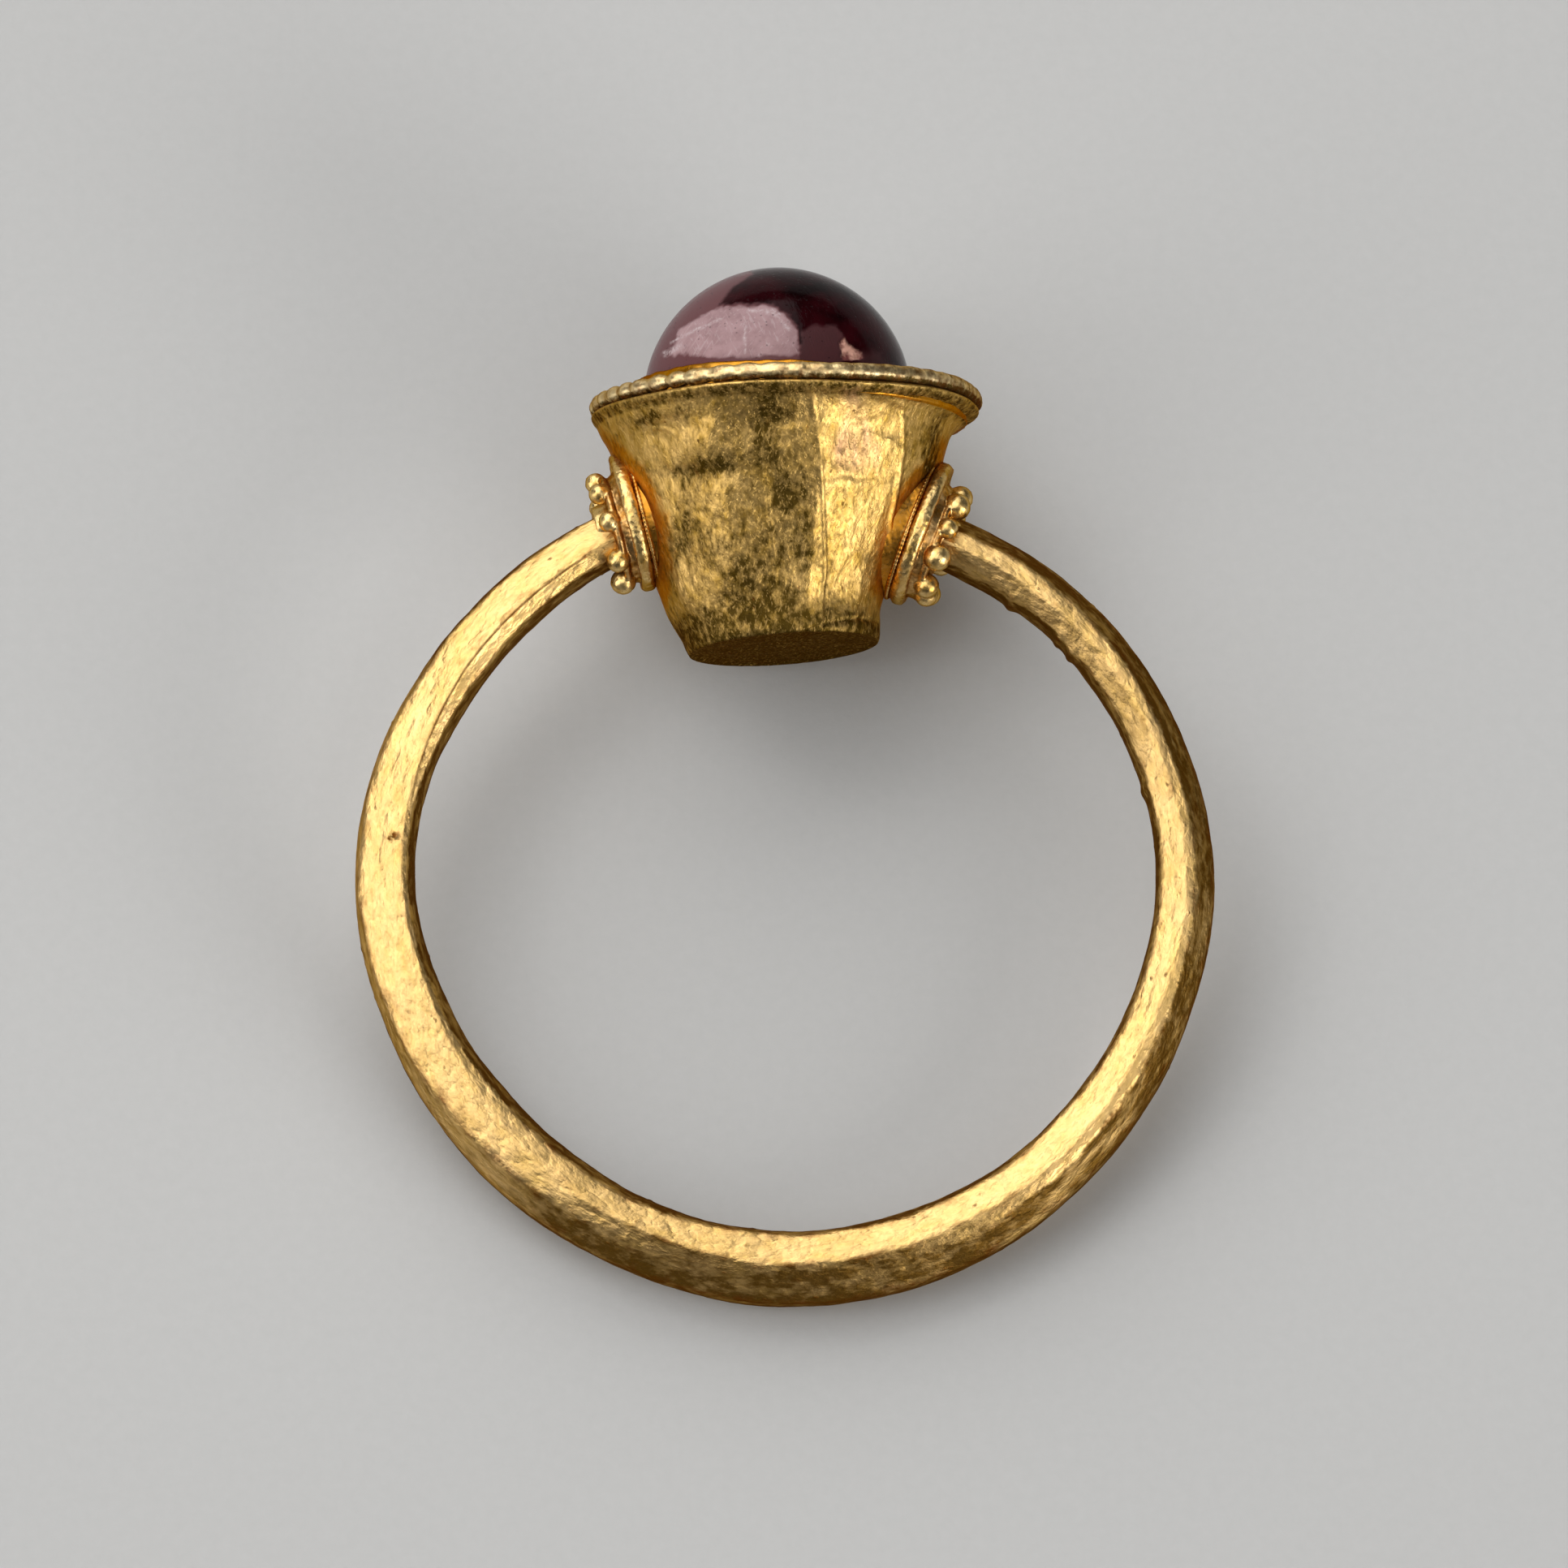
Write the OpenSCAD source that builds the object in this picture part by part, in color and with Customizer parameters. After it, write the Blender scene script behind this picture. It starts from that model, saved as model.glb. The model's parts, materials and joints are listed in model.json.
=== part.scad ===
// Gold ring with a domed garnet cabochon. A hammered hoop carries a flared sheet cup; a collar of wire
// and granules covers each joint, a beaded wire runs round the cup's lip, and the stone sits in a collet.
// Millimetres. The ring lies on its side: +X across the hoop, +Y towards the stone, +Z up.

/* [Hoop] */
// Inside diameter of the hoop
finger_d = 19.3; // [17:0.1:20.5]
// Thickness of the hoop in the plane of the ring, halfway up its sides
hoop_t = 1.75; // [1.5:0.05:2.4]
// How much thicker than that the hoop is opposite the stone
hoop_swell = 0.25; // [0.1:0.05:0.5]
// Width of the hoop along the finger
hoop_w = 2.2; // [1.6:0.1:2.8]
// Width of the hammered facets on the outer edges, measured towards the finger hole
hoop_facet = 0.5; // [0.2:0.05:0.7]
// Width of the worn facets on the inner edges
hoop_inner_facet = 0.3; // [0.1:0.05:0.4]

/* [Cup] */
// Height of the cup from its foot to the top of its sheet lip
cup_h = 6.54; // [6:0.02:7.5]
// Diameter of the flat foot
foot_d = 5.1; // [4.4:0.1:5.8]
// Diameter over the edge of the sheet lip
lip_d = 10.24; // [9.8:0.02:11]
// Height of the lip's thin edge
lip_edge = 0.14; // [0.1:0.02:0.24]
// Thickness of the cup's sheet
cup_wall = 0.35; // [0.25:0.05:0.5]
// How far the foot stands into the finger hole
foot_drop = 3.42; // [3:0.02:4.2]
// Slant of the foot, in degrees
foot_slant = 4.5; // [0:0.5:6]

/* [Beaded rim] */
// Diameter of the beads on the rim
bead_d = 0.48; // [0.36:0.02:0.6]
// Distance from one bead to the next
bead_pitch = 0.51; // [0.4:0.01:0.8]
// How far the middle of the beads stands in from the lip's edge
bead_inset = 0.12; // [0.05:0.01:0.2]
// How far the middle of the beads stands above the lip
bead_rise = 0.15; // [0.1:0.01:0.2]
// Thickness of the wire that joins the beads
bead_core = 0.34; // [0.24:0.02:0.34]

/* [Shoulder collars] */
// Diameter over the collar's wire
collar_d = 4; // [3.6:0.1:4.4]
// Thickness of the collar's wire
collar_wire = 0.28; // [0.2:0.02:0.4]
// Thickness of the second, finer wire behind it
collar_fine_wire = 0.16; // [0.12:0.02:0.24]
// Distance between the two wires
collar_step = 0.36; // [0.3:0.02:0.5]
// Depth of the solder skirt behind the wire
collar_skirt = 1.1; // [1:0.05:1.4]
// How much the skirt widens towards the cup
collar_spread = 0.14; // [0.05:0.01:0.3]
// Diameter of the boss in front of the wire
boss_d = 3.1; // [2.9:0.05:3.3]
// Height of the boss
boss_h = 0.46; // [0.36:0.02:0.6]
// Diameter of the granules on the boss
granule_d = 0.6; // [0.44:0.02:0.7]
// Number of granules on each boss
granule_count = 8; // [6:1:9]
// How deep a granule sinks into the boss
granule_sink = 0.12; // [0.08:0.01:0.2]

/* [Stone] */
// Diameter of the stone
stone_d = 7.2; // [6.4:0.1:7.4]
// Height of the dome
dome_h = 3.55; // [2.4:0.05:3.55]
// Height of the stone's edge below the dome
girdle_h = 1; // [0.6:0.05:1.2]
// How much narrower the stone's base is than its edge, on each side
girdle_taper = 0.12; // [0.04:0.02:0.24]

/* [Setting] */
// Depth of the stone's base below the lip
seat_depth = 0.8; // [0.5:0.05:1]
// Height of the collet above the lip
collet_h = 0.46; // [0.2:0.02:0.6]
// Thickness of the collet
collet_t = 0.2; // [0.14:0.02:0.3]
// Width of the ledge under the stone
ledge_w = 0.7; // [0.4:0.05:1.2]
// Thickness of the ledge and of the plate round the collet
plate_t = 0.3; // [0.2:0.02:0.4]
// Gap between the stone and the metal
stone_gap = 0.03; // [0.02:0.01:0.08]

/* [Hidden] */
$fn = 96;
fine_fn = 24;

finger_r = finger_d / 2;
hoop_r = finger_r + hoop_t;
half_w = hoop_w / 2;
lip_r = lip_d / 2;
bead_r = bead_d / 2;
stone_r = stone_d / 2;
foot_y = finger_r - foot_drop;
lip_y = foot_y + cup_h;

// The cup's outline: height as a share of cup_h, and growth as a share of the way from foot to lip.
HEIGHT = 0;
GROWTH = 1;
CUP_OUTLINE = [
    [0, 0],
    [0.2, 0.13],
    [0.5, 0.42],
    [0.78, 0.7],
    [0.9, 0.85],
    [1, 1],
];

// Each shoulder: which side of the cup, how far its collar leans down, how far the collar stands off the
// cup's wall as a share of collar_d, and how far it drops inside the hoop's middle as a share of hoop_t.
SIDE = 0;
LEAN = 1;
STAND = 2;
DROP = 3;
SHOULDERS = [
    [-1, 14, 0.11, 0],
    [1, 24, 0.06, 0.15],
];

// The same outline in millimetres: height y of the ring, and the cup's radius there
CUP_Y = 0;
CUP_R = 1;
cup_slope = [
    for (row = CUP_OUTLINE)
        [foot_y + row[HEIGHT] * (cup_h - lip_edge), foot_d / 2 + row[GROWTH] * (lip_r - foot_d / 2)]
];
function cup_r(y) = lookup(y, cup_slope);

// Growth of the cup's radius for each millimetre of height at its foot
foot_flare = (cup_slope[1][CUP_R] - cup_slope[0][CUP_R]) / (cup_slope[1][CUP_Y] - cup_slope[0][CUP_Y]);

// Angle from straight up at which a circle round the finger hole stands off the cup's wall by stand
function meeting_angle(radius, stand, angle = 20, tries = 8) =
    tries == 0
        ? angle
        : meeting_angle(radius, stand, asin((cup_r(radius * cos(angle)) + stand) / radius), tries - 1);

shoulder_r = finger_r + (hoop_t - hoop_swell) / 2;
hoop_end = meeting_angle(shoulder_r, -cup_wall / 2);

// The ring rests on its lowest bead and on the far edge of the hoop's lower face.
bead_circle_r = lip_r - bead_inset;
bead_y = lip_y + bead_rise;
rest_y = hoop_r + hoop_swell - hoop_facet;
rest_span = norm([bead_y + rest_y, bead_circle_r - half_w]);
rest_tilt = atan2(bead_circle_r - half_w, bead_y + rest_y) + asin(bead_r / rest_span);
rest_lift = rest_y * sin(rest_tilt) + half_w * cos(rest_tilt);

// The stone's dome is a cap of this sphere.
dome_r = (stone_r * stone_r + dome_h * dome_h) / (2 * dome_h);
dome_y = lip_y - seat_depth + girdle_h + dome_h - dome_r;
top_y = dome_y * cos(rest_tilt) + dome_r;
bottom_y = (hoop_r + hoop_swell) * cos(rest_tilt) + (half_w - hoop_facet) * sin(rest_tilt);

// Lays the upright ring on its side, with the origin under the middle of its box.
module laid_down() {
    translate([0, (bottom_y - top_y) / 2, rest_lift])
        rotate([rest_tilt, 0, 0]) children();
}

// Turns +Z into the cup's axis, with z = 0 at height y of the ring.
module on_cup_axis(y = 0) {
    translate([0, y, 0]) rotate([-90, 0, 0]) children();
}

// The hoop, from one shoulder round to the other. Its outside and its finger hole have different centres.
module hoop() {
    reach = 1;
    difference() {
        translate([0, -hoop_swell, 0]) rotate([0, 0, 90 + hoop_end])
            rotate_extrude(angle = 360 - 2 * hoop_end) polygon([
                [finger_r - hoop_swell - reach, -half_w],
                [hoop_r - hoop_facet, -half_w],
                [hoop_r, hoop_facet - half_w],
                [hoop_r, half_w - hoop_facet],
                [hoop_r - hoop_facet, half_w],
                [finger_r - hoop_swell - reach, half_w],
            ]);
        rotate_extrude() polygon([
            [0, -half_w - reach],
            [finger_r + hoop_inner_facet, -half_w - reach],
            [finger_r + hoop_inner_facet, -half_w],
            [finger_r, hoop_inner_facet - half_w],
            [finger_r, half_w - hoop_inner_facet],
            [finger_r + hoop_inner_facet, half_w],
            [finger_r + hoop_inner_facet, half_w + reach],
            [0, half_w + reach],
        ]);
    }
}

// Everything below the slanted foot, raised by depth
module below_foot(depth) {
    translate([0, foot_y + depth, 0]) rotate([0, 0, foot_slant])
        translate([-lip_d, -2 * lip_d, -lip_d]) cube(2 * lip_d);
}

// The cup's form, filled and drawn in by inset. It runs on below the foot and is cut off at the foot's slant.
module cup_form(inset) {
    tail = 1;
    difference() {
        on_cup_axis() rotate_extrude() polygon([
            [0, foot_y - tail],
            [foot_d / 2 - inset - tail * foot_flare, foot_y - tail],
            for (row = cup_slope) [row[CUP_R] - inset, row[CUP_Y]],
            [0, lip_y - lip_edge],
        ]);
        below_foot(inset);
    }
}

// The beaded wire: beads on a finer wire, soldered to the lip. The ring rests on the first bead.
module beaded_rim() {
    count = round(2 * PI * bead_circle_r / bead_pitch);
    on_cup_axis(bead_y) {
        rotate_extrude() translate([bead_circle_r, 0]) circle(d = bead_core, $fn = fine_fn);
        for (i = [0:count - 1])
            rotate(90 + i * 360 / count) translate([bead_circle_r, 0, 0]) sphere(r = bead_r, $fn = fine_fn);
    }
}

// The plate that closes the cup, with the collet and the ledge that hold the stone
module setting() {
    bore_r = stone_r + stone_gap;
    ledge_y = lip_y - seat_depth - stone_gap;
    on_cup_axis() rotate_extrude() polygon([
        [bore_r - ledge_w, ledge_y - plate_t],
        [bore_r + collet_t, ledge_y - plate_t],
        [bore_r + collet_t, lip_y - plate_t],
        [cup_r(lip_y - plate_t) - cup_wall / 2, lip_y - plate_t],
        [lip_r, lip_y - lip_edge],
        [lip_r, lip_y],
        [bore_r + collet_t, lip_y],
        [bore_r + collet_t, lip_y + collet_h],
        [bore_r, lip_y + collet_h],
        [bore_r, ledge_y],
        [bore_r - ledge_w, ledge_y],
    ]);
}

// One shoulder: a skirt of solder, two wires and a boss with a circle of granules round the hoop's end
module shoulder(row) {
    middle_r = shoulder_r - row[DROP] * hoop_t;
    angle = meeting_angle(middle_r, row[STAND] * collar_d);
    wire_r = (collar_d - collar_wire) / 2;
    rotate([0, row[SIDE] < 0 ? 180 : 0, 0])
        translate([middle_r * sin(angle), middle_r * cos(angle), 0])
            rotate([0, 0, -row[LEAN]]) rotate([0, 90, 0]) {
                rotate_extrude() translate([wire_r, 0]) circle(d = collar_wire, $fn = fine_fn);
                translate([0, 0, -collar_step]) rotate_extrude()
                    translate([wire_r + collar_spread / 2, 0]) circle(d = collar_fine_wire, $fn = fine_fn);
                translate([0, 0, -collar_skirt])
                    cylinder(h = collar_skirt, r1 = wire_r + collar_spread, r2 = wire_r);
                cylinder(h = boss_h, d1 = wire_r * 2, d2 = boss_d);
                for (i = [0:granule_count - 1])
                    rotate((i + 0.5) * 360 / granule_count)
                        translate([(boss_d - granule_sink) / 2, 0, boss_h - granule_sink + granule_d / 2])
                            sphere(d = granule_d, $fn = fine_fn);
            }
}

// All the gold, soldered into one piece
module soldered_ring() color("gold") laid_down() {
    difference() {
        union() {
            hoop();
            cup_form(0);
            for (row = SHOULDERS) shoulder(row);
        }
        cup_form(cup_wall);
    }
    setting();
    beaded_rim();
}

// The stone: a dome on a short, slightly tapered edge
module cabochon() color("darkred") laid_down() on_cup_axis(lip_y - seat_depth) {
    cylinder(h = girdle_h, r1 = stone_r - girdle_taper, r2 = stone_r);
    translate([0, 0, girdle_h]) difference() {
        translate([0, 0, dome_h - dome_r]) sphere(r = dome_r);
        translate([-stone_d, -stone_d, -2 * stone_d]) cube(2 * stone_d);
    }
}

soldered_ring();
cabochon();
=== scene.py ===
import json
import math

import bpy
import numpy as np
from mathutils import Matrix, Vector, noise


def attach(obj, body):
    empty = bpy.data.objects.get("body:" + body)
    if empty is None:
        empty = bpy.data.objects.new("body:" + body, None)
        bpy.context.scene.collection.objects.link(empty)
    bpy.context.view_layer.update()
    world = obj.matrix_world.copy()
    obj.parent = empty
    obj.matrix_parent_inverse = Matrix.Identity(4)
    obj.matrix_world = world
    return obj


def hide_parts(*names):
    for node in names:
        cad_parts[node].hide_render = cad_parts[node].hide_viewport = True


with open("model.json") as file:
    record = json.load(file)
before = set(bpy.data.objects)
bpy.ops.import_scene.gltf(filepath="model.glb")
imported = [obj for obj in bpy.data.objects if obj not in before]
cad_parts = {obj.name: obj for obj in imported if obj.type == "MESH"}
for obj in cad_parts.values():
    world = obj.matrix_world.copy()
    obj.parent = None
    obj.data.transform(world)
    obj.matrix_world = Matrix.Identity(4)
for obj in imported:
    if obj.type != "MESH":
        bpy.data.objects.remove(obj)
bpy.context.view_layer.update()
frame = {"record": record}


def frame_at(origin, x, y, z):
    """Takes places from a frame with this origin and these axes to the frame that they are given in."""
    return Matrix.Translation(origin) @ Matrix((x, y, z)).transposed().to_4x4()


# The ring's own frame, in millimetres from the middle of the finger hole: x across the hoop, y towards the
# stone, z along the finger. RING takes it to the frame of the solids.
MM = 0.001
HOLE = next(mount for mount in frame["record"]["mounts"] if mount["name"] == "finger_opening")
ACROSS = Vector((1, 0, 0))
FINGER = Vector(HOLE["axis"]).normalized()
STONEWARDS = FINGER.cross(ACROSS)
RING = frame_at(HOLE["pos_m"], ACROSS, STONEWARDS, FINGER) @ Matrix.Scale(MM, 4)

# How far towards the hoop's bottom the photograph's camera stood from straight in front
VIEW_ANGLE = math.radians(9.4)

# The hoop: at each angle from its bottom, + to the right, its radii, and on its face the outer ridge, the
# crown and the inner ridge, as shares of the way from the outer edge to the inner one. A level is a share of
# half the hoop's width along the finger, where the crown is.
HOOP_MIDDLE = Vector((0, -0.065, 0))
HOOP_HALF_WIDTH = 1.08
EDGE_LEVEL = 0.30
ANGLE, INNER, OUTER, OUTER_RIDGE, OUTER_LEVEL, CROWN, INNER_RIDGE, INNER_LEVEL = range(8)
HOOP = np.array([
    [-160, 9.71, 11.05, 0.08, 0.7, 0.62, 0.92, 0.82],
    [-140, 9.66, 11.12, 0.08, 0.7, 0.62, 0.92, 0.82],
    [-120, 9.73, 11.25, 0.08, 0.68, 0.64, 0.92, 0.84],
    [-105, 9.88, 11.43, 0.07, 0.7, 0.74, 0.9, 0.88],
    [-90, 9.91, 11.51, 0.07, 0.7, 0.8, 0.89, 0.92],
    [-70, 9.6, 11.38, 0.11, 0.8, 0.76, 0.86, 0.92],
    [-45, 9.33, 11.34, 0.24, 0.93, 0.62, 0.84, 0.92],
    [-20, 9.4, 11.34, 0.3, 0.8, 0.52, 0.88, 0.84],
    [0, 9.52, 11.49, 0.32, 0.8, 0.5, 0.92, 0.8],
    [18, 9.54, 11.52, 0.31, 0.82, 0.5, 0.9, 0.78],
    [45, 9.67, 11.47, 0.32, 0.92, 0.48, 0.92, 0.78],
    [70, 9.79, 11.44, 0.34, 0.96, 0.52, 0.93, 0.78],
    [90, 9.94, 11.5, 0.34, 0.96, 0.51, 0.93, 0.76],
    [113, 9.84, 11.32, 0.34, 0.96, 0.56, 0.93, 0.76],
    [133, 9.7, 11.13, 0.32, 0.95, 0.62, 0.93, 0.74],
    [150, 9.48, 10.91, 0.3, 0.95, 0.62, 0.92, 0.7],
    [160, 9.4, 10.8, 0.3, 0.95, 0.62, 0.92, 0.7],
])
HOOP_RADIUS = (HOOP[:, INNER].mean() + HOOP[:, OUTER].mean()) / 2

# The far face's corners, as (share, level), from the inner edge to the outer one
FAR_FACE = [(1.0, EDGE_LEVEL), (0.8, 0.84), (0.52, 1.0), (0.24, 0.84), (0.0, EDGE_LEVEL)]

# The groove beside the crown on the hoop's upper left: the angles between which it starts and ends, how far
# in from the crown it runs and half its width, as shares of the face, and its depth
GROOVE = ((-152, -144), (-98, -106))
GROOVE_PLACE = 0.05
GROOVE_HALF_WIDTH = 0.025
GROOVE_DEPTH = 0.035

# Knobs on the hoop's inner edge, as (angle, half the length, height)
HOOP_KNOBS = [(104, 0.9, 0.05), (128.5, 0.7, 0.06), (131.4, 0.6, 0.05), (141, 0.9, 0.08)]

# The twin pit on the hoop's left, as (angle, distance from the outer edge, size, depth), and the least and
# most of each for the pits scattered over it, with 1 for the whole way round the section
TWIN_PIT = [(-95.9, 1.36, 0.07, 0.1), (-95.3, 1.25, 0.06, 0.09)]
LEAST_PIT = (-150, 0, 0.035, 0.01)
MOST_PIT = (150, 1, 0.07, 0.035)
PIT_COUNT = 150

# The hoop's painted shade: the angles over which its shaded bottom and its less shaded, lit left side start
# and end, and over which the shade on its right side's inner half starts
HOOP_BOTTOM = ((-42, -14), (50, 15))
HOOP_LIT_LEFT = ((-130, -110), (-25, -50))
HOOP_SHADED_RIGHT = (95, 120)

# The cup: its outline at the left and at the right, from the foot's edge up to the sheet's edge
LEFT_HEIGHT, LEFT_RADIUS, RIGHT_HEIGHT, RIGHT_RADIUS = range(4)
CUP = np.array([
    [6.04, 2.56, 6.43, 2.51],
    [6.14, 2.62, 6.52, 2.54],
    [6.39, 2.73, 6.8, 2.56],
    [6.92, 3.02, 7.3, 2.58],
    [7.45, 3.26, 7.8, 2.72],
    [9.0, 3.8, 9.0, 3.25],
    [10.3, 4.24, 10.3, 3.86],
    [11.2, 4.55, 11.2, 4.22],
    [11.8, 4.79, 11.8, 4.37],
    [12.08, 4.94, 12.1, 4.5],
    [12.28, 5.02, 12.3, 4.72],
    [12.4, 5.07, 12.42, 4.96],
    [12.5, 5.15, 12.52, 5.1],
    [12.6, 5.19, 12.6, 5.15],
    [12.66, 5.1, 12.66, 5.06],
    [12.69, 4.8, 12.69, 4.8],
])

# The heights over which the cup's flat wall, and the cove under its lip, start and end
WALL = ((6.3, 7.4), (12.2, 11.4))
COVE = ((12.22, 12.34), (12.6, 12.54))

# The heights over which the lip's bends start
LIP_PRESSING = (11.8, 12.6)
LIP_LIFTING = (11.4, 12.6)

# The flats that the sheet was beaten to, as angles from the cup's front, and how flat they are
CUP_FLATS = [(-56, -25), (-25, 13.5), (13.5, 47)]
FLAT_SHARE = 0.6

# How far round from the front the cup's dents and lines reach
FRONT_REACH = math.radians(88)

# Dents in the cup's front, as (x, y, half the width, half the height, depth), where a bulge is below 0
CUP_DENTS = [
    (-2.35, 11.2, 0.75, 0.5, -0.07),
    (-2.5, 10.4, 1.2, 0.28, 0.07),
    (-1.9, 8.4, 0.6, 0.9, -0.05),
    (-1.2, 9.7, 0.45, 0.6, 0.03),
    (-0.7, 11.6, 0.5, 0.5, 0.04),
    (0.2, 11.45, 0.3, 0.16, -0.04),
    (1.7, 11.2, 0.6, 0.8, 0.07),
    (1.7, 10.2, 0.7, 0.35, -0.03),
    (1.6, 8.6, 0.5, 1.0, -0.03),
]

# Creases, folds and deep scratches: the points that each runs through, half its width, and its depth, which
# is below 0 for a ridge
CUP_LINES = [
    ([(0.63, 12.4), (0.78, 10.8), (0.83, 7.9), (0.91, 6.3)], 0.06, -0.035),
    ([(-0.72, 10.2), (-0.59, 8.1), (-0.46, 6.9)], 0.05, -0.03),
    ([(3.2, 12.4), (3.13, 11.2)], 0.05, -0.035),
    ([(3.1, 11.1), (2.74, 9.4), (2.7, 8.4)], 0.1, -0.06),
    ([(2.41, 12.3), (3.83, 11.96)], 0.04, -0.02),
    ([(2.41, 12.0), (3.15, 11.88)], 0.04, -0.02),
    ([(-3.63, 11.67), (-3.35, 11.62), (-3.07, 11.43)], 0.05, -0.025),
    ([(-2.8, 11.92), (-3.02, 11.07)], 0.04, -0.02),
    ([(1.04, 10.2), (1.45, 10.3), (1.9, 10.22), (2.35, 10.36)], 0.07, 0.015),
    ([(0.39, 6.22), (0.93, 6.5), (1.8, 6.74), (2.5, 6.88)], 0.04, 0.05),
]

# Dark patches on the cup's front, stains and painted shade, as (x, y, half the width, half the height,
# strength)
CUP_STAINS_AND_SHADE = [
    (-0.5, 12.0, 0.4, 0.5, 0.7),
    (-0.85, 11.2, 0.4, 0.6, 0.6),
    (-2.3, 10.55, 1.4, 0.26, 0.55),
    (-0.3, 10.1, 0.9, 0.9, 0.36),
    (0.1, 9.0, 0.6, 1.2, 0.32),
    (-1.0, 8.6, 0.6, 0.8, 0.3),
    (-2.8, 9.0, 0.4, 1.2, 0.5),
    (-1.9, 8.6, 0.9, 1.1, 0.26),
    (-0.8, 7.6, 1.6, 0.8, 0.42),
    (-1.2, 6.8, 1.6, 0.6, 0.5),
    (3.8, 10.8, 0.6, 1.6, 0.45),
    (-3.8, 12.0, 1.0, 0.36, 0.45),
]

# How dark the cup is elsewhere: all over, as painted shade near its foot below these heights, as a painted
# shadow in the cove under the lip, and at most
LEAST_STAIN = 0.18
FOOT_SHADE = 0.74
FOOT_BAND = (7.5, 6.6)
COVE_SHADOW = 0.60
MOST_CUP_DARKNESS = 0.8

# The dull pinkish fan on the cup's right, as an outline seen from the front
FAN = [
    (1.5, 12.45), (1.9, 12.45), (2.1, 11.7), (2.45, 11.1), (2.4, 10.45), (1.3, 10.4), (1.1, 10.9),
    (1.45, 11.6),
]

# The solder that flooded the cup: how far from each collar's middle it starts, and where it covers all
FLOODED = (2.75, 2.0)

# The beaded wire on the lip
RIM_RADIUS = 5.0
RIM_HEIGHT = 12.90
BEAD_RADIUS = 0.24
BEAD_CORE = 0.15
BEAD_COUNT = 46

# How the lip is bent: at each angle from the front, + to the right, how far it is lifted and pressed in
LIFTED, PRESSED = 1, 2
LIP_BENDS = np.array([
    [-180, 0.0, 0.0],
    [-130, -0.05, 0.02],
    [-90, -0.09, -0.01],
    [-50, -0.12, 0.02],
    [-15, -0.02, 0.0],
    [20, 0.03, 0.0],
    [50, 0.14, 0.0],
    [75, 0.12, -0.05],
    [92, 0.05, -0.06],
    [115, 0.08, 0.16],
    [150, 0.06, 0.1],
    [180, 0.0, 0.0],
])

# The setting's section, as (radius, height), from the rim in over the plate, up the collet and down to the
# ledge, the heights over which the collet starts to waver, and the radii over which it shifts to the stone
SETTING = np.array([
    [4.9, 12.4],
    [4.95, 12.78],
    [4.5, 12.76],
    [4.05, 12.78],
    [3.9, 12.92],
    [3.84, 13.3],
    [3.78, 13.43],
    [3.7, 13.41],
    [3.66, 13.1],
    [3.65, 12.3],
    [3.95, 12.2],
])
COLLET_WAVERING = (12.9, 13.3)
COLLET_SHIFTING = (4.4, 3.9)

# What both shoulder collars have, with heights out along the hoop from the middle of the wire ring: the fine
# beaded wire behind the ring, the skirt of solder down to the cup, the boss, the hoop's end in it, the voxels
# of the skin that fuses them, and the granules
FINE_WIRE_RADIUS = 0.06
FINE_WIRE_OUT = 0.06
FINE_WIRE_BACK = 0.28
FINE_WIRE_BEADS = 96
SKIRT_FLARE = 0.42
SKIRT_DEPTH = 1.15
SKIRT_BACK = 0.25
SKIRT_SHIFT = 0.24
BOSS_HEIGHT = 0.44
BOSS_STEP = 0.36
HOOP_END_FLATNESS = 0.66
SKIN_VOXEL = 0.033
GRANULE_RING_RADIUS = 1.42
GRANULE_OUT = 0.68
GRANULE_DROP = 0.16
GRANULE_UNEVEN = 0.04

# Each shoulder collar: the middle of its wire ring, how far it leans outwards, its side, the ring's radius,
# its flattened wire as half the width and half the thickness, and the granules round the hoop's end, as
# (angle, radius) from the top by way of the front
COLLARS = {
    "left_collar": dict(
        middle=(-4.09, 9.67, 0), lean=14.7, side=-1, ring=1.74, wire=(0.2, 0.15),
        granules=[
            (5, 0.29), (48, 0.29), (86, 0.29), (131, 0.32), (168, 0.35), (213, 0.3), (262, 0.28),
            (312, 0.28),
        ],
    ),
    "right_collar": dict(
        middle=(3.66, 9.36, 0), lean=20.5, side=1, ring=1.86, wire=(0.21, 0.17),
        granules=[
            (12, 0.34), (44, 0.37), (77, 0.29), (111, 0.38), (150, 0.34), (169, 0.32), (215, 0.33),
            (262, 0.31), (315, 0.3),
        ],
    ),
}

# The heights over which a collar's wire ring and its strip of granules start and end, and over which the
# solder of its skirt starts
RING_FACE = ((-0.3, -0.1), (0.3, 0.22))
GRANULE_STRIP = ((0.14, 0.22), (0.75, 0.62))
SKIRT_SOLDER = (-0.12, -0.26)

# The stone: a dome on a short straight edge, over a base given as (radius, height)
STONE_MIDDLE = Vector((-0.185, 12.97, 0))
STONE_RADIUS = 3.6
STONE_EDGE = 1.0
STONE_BASE = np.array([[0.3, 0], [2.0, 0], [3.4, 0.05]])

# The places along the finger over which the stone's marks start
STONE_FRONT = (-1.5, 0.5)
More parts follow.
